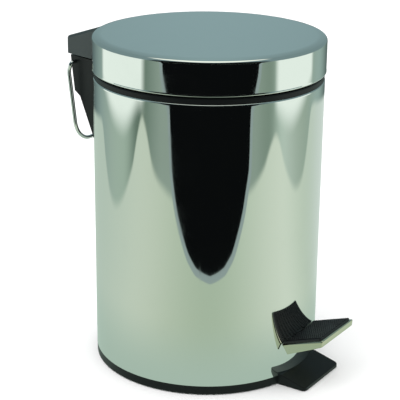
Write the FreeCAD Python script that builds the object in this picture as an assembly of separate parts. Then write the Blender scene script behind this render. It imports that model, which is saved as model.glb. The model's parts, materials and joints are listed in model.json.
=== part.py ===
"""Pedal trash can, 3 litres: steel shell, lifting bucket, hinged lid, foot pedal and carry handle.

Millimetres, +Z up. The origin is on the floor under the shell's axis, and the pedal points to -Y.
Pressing the pedal tips the lever, the lever lifts the push rod, and the rod turns the lid about
the hinge pin in the bracket at the back.
"""
import FreeCAD
import Part
import math
import os

# ---- shell, base and rim ----
BODY_R = 85.0
SHEET = 0.6
SHELL_Z0 = 6.9
SHELL_Z1 = 218.2
SHELL_LIP = 1.6
BASE_FLOOR = 2.2
BASE_R = 84.9
BASE_WALL_TOP = 12.0
RIM_TOP = 222.5
RIM_OUTER_R = 84.6
RIM_INNER_R = 74.6
RIM_BOTTOM = 208.0
BUCKET_SEAT = 213.0

# ---- foot tongue of the base ----
TONGUE_HALF = 25.8
TONGUE_FRONT = 104.0
TONGUE_ROOT_Z = 7.9
TONGUE_TIP_Z = 2.6
TONGUE_CORNER = 3.0

# ---- bucket ----
BUCKET_Z0 = 40.0
BUCKET_BOTTOM_R = 66.0
BUCKET_TOP_R = 70.2
BUCKET_WALL = 1.2
BUCKET_FLANGE_R = 74.2
BUCKET_FLANGE_T = 1.8
BAIL_WIRE_R = 1.25
BAIL_X = 72.0
BAIL_PIVOT_Z = 208.8

# ---- lid ----
LID_R = 85.7
LID_Z0 = 223.7
LID_SIDE_TOP = 245.5
LID_ROUND = 3.0
LID_TOP = 249.8
HEM_PROUD = 0.15
HEM_TOP = 1.3
LINER_Z0 = 224.6
LINER_T = 1.6

# ---- hinge: axis along X ----
HINGE_Y = 108.5
HINGE_Z = 217.0
HINGE_PIN_R = 1.8
RUNNING = 0.05
FLARE = 0.212
FLARE_FRONT_Y = 55.0
COVER_REAR_Y = 117.8
COVER_HALF_REAR = 19.5
COVER_Z0 = 222.5
COVER_ROOF_REAR = 235.6
COVER_ROOF_SLOPE = 0.34
COVER_ROOF_MAX = 248.0
COVER_EDGE_R = 2.6
COVER_WALL = 1.8
COVER_SCREWS_X = (-15.0, 15.0)
COVER_SCREW_Z = 236.0
COVER_SCREW_R = 1.4
BRACKET_REAR_Y = 116.1
BRACKET_HALF_REAR = 17.5
BRACKET_TOP = 220.8
BRACKET_WALL = 1.8
BRACKET_KNEE = (112.1, 193.2)
BRACKET_CHIN = (105.0, 189.0)
BRACKET_FOOT_Z = 147.0
BRACKET_SCREWS = [(12.5, 198.0), (-12.5, 198.0), (12.0, 163.0), (-12.0, 163.0)]
BRACKET_SCREW_R = 1.5
BOSS_R = 3.1
EAR_INNER_X = 7.0
EAR_T = 2.0

# ---- lid arm and push rod ----
ROD_R = 1.5
ROD_Y_TOP = 94.0
ROD_Z_TOP = 209.0
ROD_Y_LOW = 75.0
ROD_Z_LOW = 3.4
COLLAR_GAP = 0.9
CRANK_Z0 = 170.0
CRANK_Z1 = 188.0
CHEEK_X0 = 4.5
CHEEK_X1 = 6.0
CHEEK_HUB_R = 4.1
ARM_WEB_Z = 232.0
ARM_T = 1.5
ARM_SCREWS_X = (-8.6, 8.6)
ARM_SCREW_R = 1.4

# ---- pedal and lever: pivot axis along X ----
PIVOT_Y = -60.0
PIVOT_Z = 14.0
AXLE_R = 2.0
LEVER_HALF = 8.0
LEVER_T = 2.0
LEVER_OVER_AXLE = 3.2
LEVER_REAR_Y = 82.0
LEVER_REAR_Z = 6.6
SLOT_Z0 = 22.6
SLOT_Z1 = 32.6
TREAD_HALF = 24.0
TREAD_REAR_R = 85.6
TREAD_REAR_Y = -85.9
TREAD_REAR_Z = 33.2
TREAD_FRONT_Y = -115.8
TREAD_FRONT_Z = 43.3
TREAD_T = 1.2
TREAD_SLOPE = (TREAD_FRONT_Z - TREAD_REAR_Z) / (TREAD_REAR_Y - TREAD_FRONT_Y)
TREAD_TILT = math.atan(TREAD_SLOPE)
NOSE_DEPTH = 5.2
NOSE_LEAN = 0.6
SKIRT_REAR = (-87.2, 25.0)
PAD_HALF = 22.8
PAD_T = 1.9
PAD_MARGIN = 2.2
PEDAL_RIVETS = [(-4.5, -94.0), (4.5, -94.0), (0.0, -106.0)]
RIVET_R = 1.6

# ---- carry handle ----
HANDLE_WIRE_R = 1.5
HANDLE_BOSS_X = 16.0
HANDLE_PIVOT_Y = 110.0
HANDLE_PIVOT_Z = 216.6
HANDLE_HALF = 24.0
HANDLE_BEND = (24.2, 112.3, 210.0)
HANDLE_LOW = (22.6, 106.4, 154.2)
HANDLE_BENDS = [2.4, 10.0, 16.0, 16.0, 10.0, 2.4]

X_AXIS = FreeCAD.Vector(1, 0, 0)
Y_AXIS = FreeCAD.Vector(0, 1, 0)
Z_AXIS = FreeCAD.Vector(0, 0, 1)
ORIGIN = FreeCAD.Vector(0, 0, 0)


# ---- shape helpers ----
def polygon(points):
    """A flat face with the given corners, in order."""
    return Part.Face(Part.makePolygon(list(points) + [points[0]]))


def revolve(profile):
    """The ring or disc that an (r, z) outline sweeps about the shell's axis."""
    face = polygon([FreeCAD.Vector(r, 0, z) for r, z in profile])
    return face.revolve(ORIGIN, Z_AXIS, 360)


def extrude_x(outline, x0, x1):
    """A (y, z) outline given thickness from x0 to x1."""
    face = polygon([FreeCAD.Vector(x0, y, z) for y, z in outline])
    return face.extrude(FreeCAD.Vector(x1 - x0, 0, 0))


def extrude_z(outline, z0, z1):
    """An (x, y) outline given height from z0 to z1."""
    face = polygon([FreeCAD.Vector(x, y, z0) for x, y in outline])
    return face.extrude(FreeCAD.Vector(0, 0, z1 - z0))


def box(x0, x1, y0, y1, z0, z1):
    return Part.makeBox(x1 - x0, y1 - y0, z1 - z0, FreeCAD.Vector(x0, y0, z0))


def cylinder_x(radius, x0, x1, y, z):
    return Part.makeCylinder(radius, x1 - x0, FreeCAD.Vector(x0, y, z), X_AXIS)


def cylinder_y(radius, y0, y1, x, z):
    return Part.makeCylinder(radius, y1 - y0, FreeCAD.Vector(x, y0, z), Y_AXIS)


def cylinder_z(radius, z0, z1, x=0.0, y=0.0):
    return Part.makeCylinder(radius, z1 - z0, FreeCAD.Vector(x, y, z0), Z_AXIS)


def bent_wire(points, bends, radius):
    """A round wire along straight runs that are joined by tangent arcs, one bend radius per corner."""
    corners = [FreeCAD.Vector(*p) for p in points]
    edges = []
    start = corners[0]
    for before, corner, after, bend in zip(corners, corners[1:], corners[2:], bends):
        back = (before - corner).normalize()
        ahead = (after - corner).normalize()
        half = back.getAngle(ahead) / 2
        entry = corner + back * (bend / math.tan(half))
        leave = corner + ahead * (bend / math.tan(half))
        centre = corner + (back + ahead).normalize() * (bend / math.sin(half))
        middle = centre + (corner - centre).normalize() * bend
        edges.append(Part.makeLine(start, entry))
        edges.append(Part.Arc(entry, middle, leave).toShape())
        start = leave
    edges.append(Part.makeLine(start, corners[-1]))
    first = (corners[1] - corners[0]).normalize()
    section = Part.Wire([Part.makeCircle(radius, corners[0], first)])
    return Part.Wire(edges).makePipeShell([section], True, True)


def mirror_x(shape):
    return shape.mirror(ORIGIN, X_AXIS)


def pan_screw(shank_r, head_r, head_t, length):
    """A screw standing on its head: the head from z = -head_t to 0, the shank above it."""
    head = Part.makeCylinder(head_r, head_t, FreeCAD.Vector(0, 0, -head_t), Z_AXIS)
    rim = [e for e in head.Edges if abs(e.BoundBox.ZMax + head_t) < 0.01]
    head = head.makeFillet(head_t * 0.45, rim)
    recess = Part.makeBox(head_r * 1.1, 0.7, 0.7, FreeCAD.Vector(-head_r * 0.55, -0.35, -head_t))
    turned = recess.copy()
    turned.rotate(ORIGIN, Z_AXIS, 90)
    shank = Part.makeCylinder(shank_r, length, ORIGIN, Z_AXIS)
    return head.fuse(shank).cut(recess).cut(turned).removeSplitter()


def aim(shape, direction, place):
    """Turns a shape made along +Z to a direction and puts its origin at a place."""
    turn = FreeCAD.Rotation(Z_AXIS, FreeCAD.Vector(*direction))
    shape.Placement = FreeCAD.Placement(FreeCAD.Vector(*place), turn)
    return shape


def group(shapes):
    return Part.makeCompound(list(shapes))


# ---- outer body ----
def body_shell():
    """Rolled and polished sheet: a lip turned in at the top, a pedal slot and a rod slot."""
    inner = BODY_R - SHEET
    profile = [
        (BODY_R, SHELL_Z0),
        (BODY_R, SHELL_Z1 - 0.7),
        (BODY_R - 0.2, SHELL_Z1 - 0.2),
        (BODY_R - 0.7, SHELL_Z1),
        (BODY_R - SHELL_LIP - SHEET, SHELL_Z1),
        (BODY_R - SHELL_LIP - SHEET, SHELL_Z1 - SHEET),
        (inner, SHELL_Z1 - SHEET - 0.3),
        (inner, SHELL_Z0),
    ]
    shell = revolve(profile)
    half = LEVER_HALF + 1.2
    shell = shell.cut(box(-half, half, -BODY_R - 5, -60, SLOT_Z0, SLOT_Z1))
    shell = shell.cut(box(-4, 4, 60, BODY_R + 5, 172, 206))
    for x, z in BRACKET_SCREWS:
        shell = shell.cut(cylinder_y(BRACKET_SCREW_R, 70, 95, x, z))
    return shell


def rim_ring():
    """Plastic ring that caps the shell's top edge and carries the bucket on an inner lip."""
    skirt_outer = BODY_R - SHELL_LIP - SHEET
    profile = [
        (RIM_OUTER_R, SHELL_Z1),
        (RIM_OUTER_R, RIM_TOP - 1.0),
        (RIM_OUTER_R - 0.3, RIM_TOP - 0.3),
        (RIM_OUTER_R - 1.0, RIM_TOP),
        (RIM_INNER_R + 1.0, RIM_TOP),
        (RIM_INNER_R, RIM_TOP - 1.0),
        (RIM_INNER_R, BUCKET_SEAT),
        (RIM_INNER_R - 2.2, BUCKET_SEAT),
        (RIM_INNER_R - 2.2, BUCKET_SEAT - 1.8),
        (RIM_INNER_R + 1.8, BUCKET_SEAT - 1.8),
        (RIM_INNER_R + 1.8, RIM_TOP - 2.0),
        (skirt_outer - 1.8, RIM_TOP - 2.0),
        (skirt_outer - 1.8, RIM_BOTTOM),
        (skirt_outer, RIM_BOTTOM),
        (skirt_outer, SHELL_Z1),
    ]
    ring = revolve(profile)
    return ring.cut(box(-90, 90, -3, 3, BUCKET_SEAT - 3, BUCKET_SEAT + 0.01).common(
        cylinder_z(RIM_INNER_R, BUCKET_SEAT - 3, BUCKET_SEAT + 0.01)))


def tongue():
    """The foot that keeps the can from tipping: it slopes down from the shell to a thin front edge."""
    root_y = -70.0
    outline = [
        (root_y, 0.0),
        (-TONGUE_FRONT, 0.0),
        (-TONGUE_FRONT, TONGUE_TIP_Z),
        (-BODY_R + 1.0, TONGUE_ROOT_Z),
        (root_y, TONGUE_ROOT_Z),
    ]
    block = extrude_x(outline, -TONGUE_HALF, TONGUE_HALF)
    uprights = [e for e in block.Edges if e.BoundBox.ZLength > 1 and e.BoundBox.YLength < 0.01]
    corners = [e for e in uprights if abs(e.BoundBox.YMin + TONGUE_FRONT) < 0.01]
    block = block.makeFillet(TONGUE_CORNER, corners)
    top_edges = [
        e for e in block.Edges
        if e.BoundBox.ZMin > TONGUE_TIP_Z - 0.3 and e.BoundBox.YMin < -BODY_R
    ]
    block = block.makeFillet(0.6, top_edges)
    return block.cut(cylinder_z(BODY_R + 0.1, SHELL_Z0, 20)).cut(cylinder_z(82, BASE_FLOOR, 20))


def base_tray():
    """Moulded base: closed floor, visible ring, locating wall inside the shell, tongue, axle posts."""
    inner = BODY_R - SHEET
    profile = [
        (0.0, 0.0),
        (BASE_R - 0.6, 0.0),
        (BASE_R, 0.6),
        (BASE_R, SHELL_Z0),
        (inner, SHELL_Z0),
        (inner, BASE_WALL_TOP),
        (inner - 1.4, BASE_WALL_TOP),
        (inner - 1.4, BASE_FLOOR),
        (0.0, BASE_FLOOR),
    ]
    tray = revolve(profile).fuse(tongue())
    for side in (-1, 1):
        centre = side * (LEVER_HALF + 4.2)
        post = box(centre - 1.6, centre + 1.6, PIVOT_Y - 6, PIVOT_Y + 6, 1.0, PIVOT_Z)
        post = post.fuse(cylinder_x(6.0, centre - 1.6, centre + 1.6, PIVOT_Y, PIVOT_Z))
        web = box(centre - 0.8, centre + 0.8, PIVOT_Y - 16, PIVOT_Y + 16, 1.0, 7.0)
        tray = tray.fuse(post).fuse(web)
    return tray.cut(cylinder_x(AXLE_R, -30, 30, PIVOT_Y, PIVOT_Z)).removeSplitter()


def lever_axle():
    half = LEVER_HALF + 9.0
    return cylinder_x(AXLE_R, -half, half, PIVOT_Y, PIVOT_Z)


def axle_clips():
    """A pressed washer on each end of the axle."""
    inner = LEVER_HALF + 6.0
    washer = cylinder_x(4.2, inner, inner + 1.2, PIVOT_Y, PIVOT_Z)
    washer = washer.cut(cylinder_x(AXLE_R, inner - 1, inner + 3, PIVOT_Y, PIVOT_Z))
    return group([washer, mirror_x(washer)])


# ---- bucket ----
def bucket():
    """Moulded bucket that hangs by its flange on the rim ring's lip."""
    floor_top = BUCKET_Z0 + 1.6
    top = BUCKET_SEAT + BUCKET_FLANGE_T
    profile = [
        (0.0, BUCKET_Z0),
        (BUCKET_BOTTOM_R - 2.5, BUCKET_Z0),
        (BUCKET_BOTTOM_R - 0.7, BUCKET_Z0 + 0.7),
        (BUCKET_BOTTOM_R, BUCKET_Z0 + 2.5),
        (BUCKET_TOP_R, BUCKET_SEAT),
        (BUCKET_FLANGE_R, BUCKET_SEAT),
        (BUCKET_FLANGE_R, top - 0.6),
        (BUCKET_FLANGE_R - 0.6, top),
        (BUCKET_TOP_R - BUCKET_WALL, top),
        (BUCKET_BOTTOM_R - BUCKET_WALL, BUCKET_Z0 + 3.5),
        (BUCKET_BOTTOM_R - 3.4, floor_top),
        (0.0, floor_top),
    ]
    shape = revolve(profile)
    for side in (-1, 1):
        x0, x1 = sorted((side * (BUCKET_TOP_R + 0.15), side * (BUCKET_FLANGE_R + 1)))
        shape = shape.cut(box(x0, x1, -2.2, 2.2, BUCKET_SEAT - 1, top + 1))
    return shape.cut(cylinder_x(BAIL_WIRE_R + 0.1, -80, 80, 0, BAIL_PIVOT_Z))


def bucket_handle():
    """Wire bail that lies folded on the bucket's flange, its ends hooked through the wall."""
    lying_z = BUCKET_SEAT + BUCKET_FLANGE_T + BAIL_WIRE_R
    sweep = 70.0
    right = [
        (BUCKET_TOP_R - 3.0, 0, BAIL_PIVOT_Z),
        (BAIL_X, 0, BAIL_PIVOT_Z),
        (BAIL_X, 0, lying_z),
        (BAIL_X, -BAIL_X - 0.2, lying_z),
    ]
    left = [(-x, y, z) for x, y, z in reversed(right)]
    return bent_wire(right + left, [1.6, 1.6, sweep, sweep, 1.6, 1.6], BAIL_WIRE_R)


# ---- lid ----
def lid_outline(drop):
    """The lid's outside from the hem to the crown, moved inwards by drop."""
    r = LID_R - drop
    round_r = LID_ROUND - drop
    knee = (LID_R - LID_ROUND, LID_SIDE_TOP)
    points = [(r, LID_SIDE_TOP)]
    for step in range(1, 7):
        turn = math.radians(75.0 * step / 6)
        points.append((knee[0] + round_r * math.cos(turn), knee[1] + round_r * math.sin(turn)))
    points.append((LID_R - 5.6, LID_TOP - 0.5 - drop))
    points.append((LID_R * 0.5, LID_TOP - 0.1 - drop))
    points.append((0.0, LID_TOP - drop))
    return points


def lid_solid():
    """The room that the lid fills, for parts that are cut to fit against it."""
    return revolve([(0.0, LID_Z0 - 3), (LID_R, LID_Z0 - 3)] + lid_outline(0.0))


def lid_cap():
    """Drawn steel cap with a hem folded in at its lower edge."""
    hem = [
        (LID_R - SHEET, LID_Z0 + HEM_TOP + 0.3),
        (LID_R - 1.2, LID_Z0 + HEM_TOP),
        (LID_R - 1.2, LID_Z0 + 0.3),
        (LID_R - 0.9, LID_Z0),
        (LID_R - 0.2, LID_Z0),
        (LID_R + HEM_PROUD, LID_Z0 + 0.4),
        (LID_R + HEM_PROUD, LID_Z0 + 0.9),
        (LID_R, LID_Z0 + HEM_TOP),
    ]
    cap = revolve(hem + lid_outline(0.0) + lid_outline(SHEET)[::-1])
    for x in COVER_SCREWS_X:
        cap = cap.cut(cylinder_y(COVER_SCREW_R, 70, 95, x, COVER_SCREW_Z))
    return cap


def lid_liner():
    """Plastic liner pressed into the cap, with a lip that drops inside the rim ring."""
    outer = LID_R - 1.2
    lip = RIM_INNER_R - 1.9
    profile = [
        (0.0, LINER_Z0 + 3.0),
        (lip - 6.0, LINER_Z0 + 3.0),
        (lip - 4.0, LINER_Z0 - 4.0),
        (lip, LINER_Z0 - 4.6),
        (lip + 0.8, LINER_Z0),
        (outer, LINER_Z0),
        (outer, LINER_Z0 + 5.0),
        (outer - LINER_T, LINER_Z0 + 5.0),
        (outer - LINER_T, LINER_Z0 + LINER_T),
        (lip - 0.6, LINER_Z0 + LINER_T),
        (lip - 1.6, LINER_Z0 - 2.8),
        (lip - 2.9, LINER_Z0 - 2.6),
        (lip - 4.7, LINER_Z0 + 3.0 + LINER_T),
        (0.0, LINER_Z0 + 3.0 + LINER_T),
    ]
    return revolve(profile)


def lid_bumpers():
    """Three rubber buttons under the liner that meet the rim ring softly."""
    ring_r = 80.0
    buttons = []
    for turn in (-90, 30, 150):
        x = ring_r * math.cos(math.radians(turn))
        y = ring_r * math.sin(math.radians(turn))
        buttons.append(cylinder_z(2.4, RIM_TOP + 0.35, LINER_Z0, x, y))
    return group(buttons)


# ---- hinge cover, bracket and pin ----
def flared(rear_y, half_rear, z0, z1):
    """A block that is widest at the shell and narrows towards the back."""
    front = half_rear + (rear_y - FLARE_FRONT_Y) * FLARE
    outline = [(-front, FLARE_FRONT_Y), (-half_rear, rear_y), (half_rear, rear_y), (front, FLARE_FRONT_Y)]
    return extrude_z(outline, z0, z1)


def below_roof(drop):
    """Everything under the cover's sloping roof, moved down by drop."""
    front_y = FLARE_FRONT_Y
    rear_y = 130.0
    rear_z = COVER_ROOF_REAR - drop - (rear_y - COVER_REAR_Y) * COVER_ROOF_SLOPE
    front_z = COVER_ROOF_REAR - drop + (COVER_REAR_Y - front_y) * COVER_ROOF_SLOPE
    outline = [(rear_y, 200.0), (rear_y, rear_z), (front_y, front_z), (front_y, 200.0)]
    return extrude_x(outline, -60, 60)


def hinge_cover():
    """Moulded cover on the back of the lid: it hides the arm and turns with the lid."""
    outside = flared(COVER_REAR_Y, COVER_HALF_REAR, COVER_Z0, 265).common(below_roof(0))
    rear_edges = [
        e for e in outside.Edges
        if e.BoundBox.ZLength > 10 and e.BoundBox.YLength < 0.01 and e.BoundBox.YMin > COVER_REAR_Y - 0.1
    ]
    outside = outside.makeFillet(3.0, rear_edges)
    roof_edges = [e for e in outside.Edges if e.BoundBox.ZMin > COVER_ROOF_REAR - 0.3]
    roof_edges = [e for e in roof_edges if e.BoundBox.YMax > FLARE_FRONT_Y + 1]
    outside = outside.makeFillet(COVER_EDGE_R, roof_edges)
    wall = COVER_WALL
    cavity = flared(COVER_REAR_Y - wall, COVER_HALF_REAR - wall, COVER_Z0 - 1, 265)
    cavity = cavity.common(below_roof(wall)).cut(cylinder_z(LID_R + 2.2, 200, 270))
    cover = outside.cut(cavity)
    bosses = []
    for x in ARM_SCREWS_X:
        bosses.append(cylinder_z(3.2, ARM_WEB_Z + ARM_T, 262, x, ROD_Y_TOP))
    for x in COVER_SCREWS_X:
        bosses.append(cylinder_y(3.0, 80, 94, x, COVER_SCREW_Z))
    for boss in bosses:
        cover = cover.fuse(boss.common(below_roof(wall / 2)))
    cover = cover.cut(lid_solid()).cut(cylinder_z(LID_R - 1.4, 200, 300))
    cover = cover.cut(cylinder_z(LID_R + HEM_PROUD, LID_Z0 - 3, LID_Z0 + HEM_TOP))
    cover = cover.cut(box(-60, 60, 50, 130, COVER_ROOF_MAX, 300))
    for x in ARM_SCREWS_X:
        cover = cover.cut(cylinder_z(ARM_SCREW_R, 200, ARM_WEB_Z + 7, x, ROD_Y_TOP))
    for x in COVER_SCREWS_X:
        cover = cover.cut(cylinder_y(COVER_SCREW_R, 70, 92.5, x, COVER_SCREW_Z))
    return cover.removeSplitter()


def cover_screws():
    """Two screws from inside the lid that hold the cover on the cap."""
    screws = []
    for x in COVER_SCREWS_X:
        screw = pan_screw(COVER_SCREW_R, 2.8, 1.7, 9.5)
        screws.append(aim(screw, (0, 1, 0), (x, 83.0, COVER_SCREW_Z)))
    return group(screws)


def wedge(wall):
    """The bracket's outside, or its inside at a wall's depth: a box that tapers down to the shell."""
    rear = BRACKET_REAR_Y - wall
    top = BRACKET_TOP + (1 if wall else 0)
    foot_y = BODY_R - 1.0
    slope = (BRACKET_CHIN[1] - BRACKET_FOOT_Z) / (BRACKET_CHIN[0] - foot_y)
    foot_z = BRACKET_FOOT_Z + wall * math.hypot(1, slope)
    outline = [
        (rear, top),
        (BRACKET_KNEE[0] - wall, BRACKET_KNEE[1] + wall * 0.4),
        (BRACKET_CHIN[0] - wall * 0.2, BRACKET_CHIN[1] + wall),
        (foot_y, foot_z),
        (FLARE_FRONT_Y, foot_z),
        (FLARE_FRONT_Y, top),
    ]
    profile = extrude_x(outline, -40, 40)
    return profile.common(flared(rear, BRACKET_HALF_REAR - wall, 140, 225))


def hinge_bracket():
    """Moulded bracket screwed to the shell: holds the hinge pin in two ears and the handle's ends."""
    outside = wedge(0)
    long_edges = [
        e for e in outside.Edges
        if e.BoundBox.ZLength > 3 and e.BoundBox.YMax > 104.9 and e.BoundBox.YMin > 84.5
    ]
    outside = outside.makeFillet(1.2, long_edges)
    bracket = outside.cut(wedge(BRACKET_WALL))
    hub_room = cylinder_x(CHEEK_HUB_R + 0.4, -EAR_INNER_X, EAR_INNER_X, HINGE_Y, HINGE_Z)
    bracket = bracket.cut(hub_room)
    for side in (-1, 1):
        x0, x1 = sorted((side * EAR_INNER_X, side * (EAR_INNER_X + EAR_T)))
        ear = cylinder_x(5.0, x0, x1, HINGE_Y, HINGE_Z)
        ear = ear.fuse(box(x0, x1, HINGE_Y - 5, BRACKET_REAR_Y - 1, 196, HINGE_Z))
        ear = ear.common(flared(BRACKET_REAR_Y - 0.5, 15, 190, 230)).common(
            wedge(0).fuse(box(-12, 12, HINGE_Y - 6, HINGE_Y + 6, HINGE_Z, 230)))
        bracket = bracket.fuse(ear)
        boss_x0, boss_x1 = sorted((side * HANDLE_BOSS_X, side * 20.0))
        boss = cylinder_x(3.6, boss_x0, boss_x1, HANDLE_PIVOT_Y, HANDLE_PIVOT_Z).common(wedge(0))
        bracket = bracket.fuse(boss)
    for x, z in BRACKET_SCREWS:
        bracket = bracket.fuse(cylinder_y(BOSS_R, 80, BRACKET_REAR_Y, x, z).common(wedge(0)))
    bracket = bracket.cut(cylinder_z(BODY_R, 100, 240))
    for x, z in BRACKET_SCREWS:
        bracket = bracket.cut(cylinder_y(BRACKET_SCREW_R, 70, 90.5, x, z))
    bracket = bracket.cut(cylinder_x(HINGE_PIN_R, -14, 14, HINGE_Y, HINGE_Z))
    for x0, x1 in ((HANDLE_BOSS_X - 0.1, 40), (-40, 0.1 - HANDLE_BOSS_X)):
        hole = cylinder_x(HANDLE_WIRE_R + RUNNING, x0, x1, HANDLE_PIVOT_Y, HANDLE_PIVOT_Z)
        bracket = bracket.cut(hole)
    return bracket.removeSplitter()


def bracket_screws():
    """Four screws from inside the shell into the bracket's bosses."""
    screws = []
    for x, z in BRACKET_SCREWS:
        screw = pan_screw(BRACKET_SCREW_R, 3.0, 1.8, 8.0)
        screws.append(aim(screw, (0, 1, 0), (x, 82.4, z)))
    return group(screws)


def hinge_pin():
    """Steel pin with an upset head, held in the bracket's ears."""
    head_x = -(EAR_INNER_X + EAR_T)
    pin = cylinder_x(HINGE_PIN_R, head_x, 11.5, HINGE_Y, HINGE_Z)
    return pin.fuse(cylinder_x(3.0, head_x - 1.3, head_x, HINGE_Y, HINGE_Z)).removeSplitter()


def pin_clip():
    """Pressed washer on the hinge pin's plain end."""
    x0 = EAR_INNER_X + EAR_T + 0.1
    washer = cylinder_x(3.6, x0, x0 + 1.0, HINGE_Y, HINGE_Z)
    return washer.cut(cylinder_x(HINGE_PIN_R, x0 - 1, x0 + 3, HINGE_Y, HINGE_Z))


# ---- lid arm and push rod ----
def lid_arm():
    """Pressed steel arm under the cover: two cheeks on the hinge pin, with the rod's hole in one."""
    web_rear = HINGE_Y - 8.5
    web_front = HINGE_Y - 20.0
    cheek_outline = [
        (HINGE_Y - 2.2, HINGE_Z + 3.4),
        (HINGE_Y + 0.4, HINGE_Z - 4.0),
        (ROD_Y_TOP + 0.8, ROD_Z_TOP - 3.2),
        (ROD_Y_TOP - 3.0, ROD_Z_TOP - 1.5),
        (web_front + 2.5, ARM_WEB_Z),
        (web_front + 2.5, ARM_WEB_Z + ARM_T),
        (web_rear, ARM_WEB_Z + ARM_T),
        (web_rear, ARM_WEB_Z - 1.5),
    ]
    arm = box(-12, 12, web_front, web_rear, ARM_WEB_Z, ARM_WEB_Z + ARM_T)
    for x0, x1 in ((CHEEK_X0, CHEEK_X1), (-CHEEK_X1, -CHEEK_X0)):
        cheek = extrude_x(cheek_outline, x0, x1)
        cheek = cheek.fuse(cylinder_x(CHEEK_HUB_R, x0, x1, HINGE_Y, HINGE_Z))
        cheek = cheek.fuse(cylinder_x(3.2, x0, x1, ROD_Y_TOP, ROD_Z_TOP))
        arm = arm.fuse(cheek)
    arm = arm.cut(cylinder_x(HINGE_PIN_R + RUNNING, -20, 20, HINGE_Y, HINGE_Z))
    arm = arm.cut(cylinder_x(ROD_R + RUNNING, 0, 20, ROD_Y_TOP, ROD_Z_TOP))
    for x in ARM_SCREWS_X:
        arm = arm.cut(cylinder_z(ARM_SCREW_R, 225, 240, x, ROD_Y_TOP))
    return arm.removeSplitter()


def arm_screws():
    """Two screws up through the arm's web into the cover."""
    screws = []
    for x in ARM_SCREWS_X:
        screws.append(aim(pan_screw(ARM_SCREW_R, 2.6, 1.6, 6.5), (0, 0, 1), (x, ROD_Y_TOP, ARM_WEB_Z)))
    return group(screws)


def push_rod():
    """Cranked wire: up inside the shell, out through its slot, and hooked into the arm's cheek."""
    points = [
        (0, ROD_Y_LOW, ROD_Z_LOW),
        (0, ROD_Y_LOW, CRANK_Z0),
        (0, ROD_Y_TOP, CRANK_Z1),
        (0, ROD_Y_TOP, ROD_Z_TOP),
        (8.4, ROD_Y_TOP, ROD_Z_TOP),
    ]
    return bent_wire(points, [5.0, 5.0, 2.2], ROD_R)


def rod_collar():
    """Collar on the rod that the lever pushes up."""
    z0 = lever_top(ROD_Y_LOW) + COLLAR_GAP
    collar = cylinder_z(4.0, z0, z0 + 5.0, 0, ROD_Y_LOW)
    return collar.cut(cylinder_z(ROD_R, z0 - 1, z0 + 7, 0, ROD_Y_LOW))


def rod_clip():
    """Push-on washer that keeps the rod's hook in the arm."""
    x0 = CHEEK_X1 + 0.4
    washer = cylinder_x(3.2, x0, x0 + 0.9, ROD_Y_TOP, ROD_Z_TOP)
    return washer.cut(cylinder_x(ROD_R, x0 - 1, x0 + 3, ROD_Y_TOP, ROD_Z_TOP))


# ---- pedal ----
def lever_top(y):
    """Height of the lever's upper face behind the pivot."""
    along = (y - PIVOT_Y) / (LEVER_REAR_Y - PIVOT_Y)
    crest = PIVOT_Z + LEVER_OVER_AXLE
    return crest + along * (LEVER_REAR_Z - crest) + LEVER_T / 2


def tread_z(y, drop=0.0):
    """Height of the tread's upper face, or of a face parallel to it and drop below."""
    return TREAD_REAR_Z + (TREAD_REAR_Y - y) * TREAD_SLOPE - drop / math.cos(TREAD_TILT)


def pedal_lever():
    """Bent strip from under the tread, through the shell's slot and over the axle, to the push rod."""
    under = TREAD_T
    low = TREAD_T + LEVER_T
    knee_y = -88.0
    front_y = -111.0
    strip = extrude_x(
        [
            (front_y, tread_z(front_y, under)),
            (front_y, tread_z(front_y, low)),
            (knee_y, tread_z(knee_y, low)),
            (-81.0, tread_z(knee_y, low) - 3.0),
            (PIVOT_Y, lever_top(PIVOT_Y) - LEVER_T),
            (LEVER_REAR_Y, lever_top(LEVER_REAR_Y) - LEVER_T),
            (LEVER_REAR_Y, lever_top(LEVER_REAR_Y)),
            (PIVOT_Y, lever_top(PIVOT_Y)),
            (-81.0, tread_z(knee_y, low) - 1.0),
            (knee_y, tread_z(knee_y, under)),
        ],
        -LEVER_HALF, LEVER_HALF)
    lever = strip.cut(box(5.5, 20, 24, 90, 0, 40)).cut(box(-20, -5.5, 24, 90, 0, 40))
    for x0, x1 in ((LEVER_HALF - 1.5, LEVER_HALF), (-LEVER_HALF, 1.5 - LEVER_HALF)):
        lug = cylinder_x(4.6, x0, x1, PIVOT_Y, PIVOT_Z)
        rib = extrude_x(
            [(-78.0, 27.2), (-78.0, 25.6), (PIVOT_Y, PIVOT_Z - 4.6), (20.0, lever_top(20.0) - 4.5),
             (20.0, lever_top(20.0) - 1.0), (PIVOT_Y, lever_top(PIVOT_Y) - 1.0)],
            x0, x1)
        lever = lever.fuse(lug).fuse(rib)
    slot = box(-ROD_R - 0.6, ROD_R + 0.6, ROD_Y_LOW - 4.8, ROD_Y_LOW + 5.8, 0, 20)
    lever = lever.cut(slot).cut(cylinder_x(AXLE_R + RUNNING, -20, 20, PIVOT_Y, PIVOT_Z))
    for x, y in PEDAL_RIVETS:
        lever = lever.cut(square_to_tread(cylinder_z(RIVET_R, -5, 1), x, y))
    return lever.removeSplitter()


def square_to_tread(shape, x, y):
    """Moves a shape made about the origin so that +Z stands square to the tread at (x, y)."""
    shape.rotate(ORIGIN, X_AXIS, -math.degrees(TREAD_TILT))
    shape.translate(FreeCAD.Vector(x, y, tread_z(y)))
    return shape


def pedal_rivets():
    """Flush rivets that join the tread plate to the lever."""
    rivets = []
    bottom = TREAD_T + LEVER_T
    for x, y in PEDAL_RIVETS:
        rivet = cylinder_z(RIVET_R, -bottom, 0).fuse(cylinder_z(2.8, -bottom - 1.0, -bottom))
        rivets.append(square_to_tread(rivet.removeSplitter(), x, y))
    return group(rivets)


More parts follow.
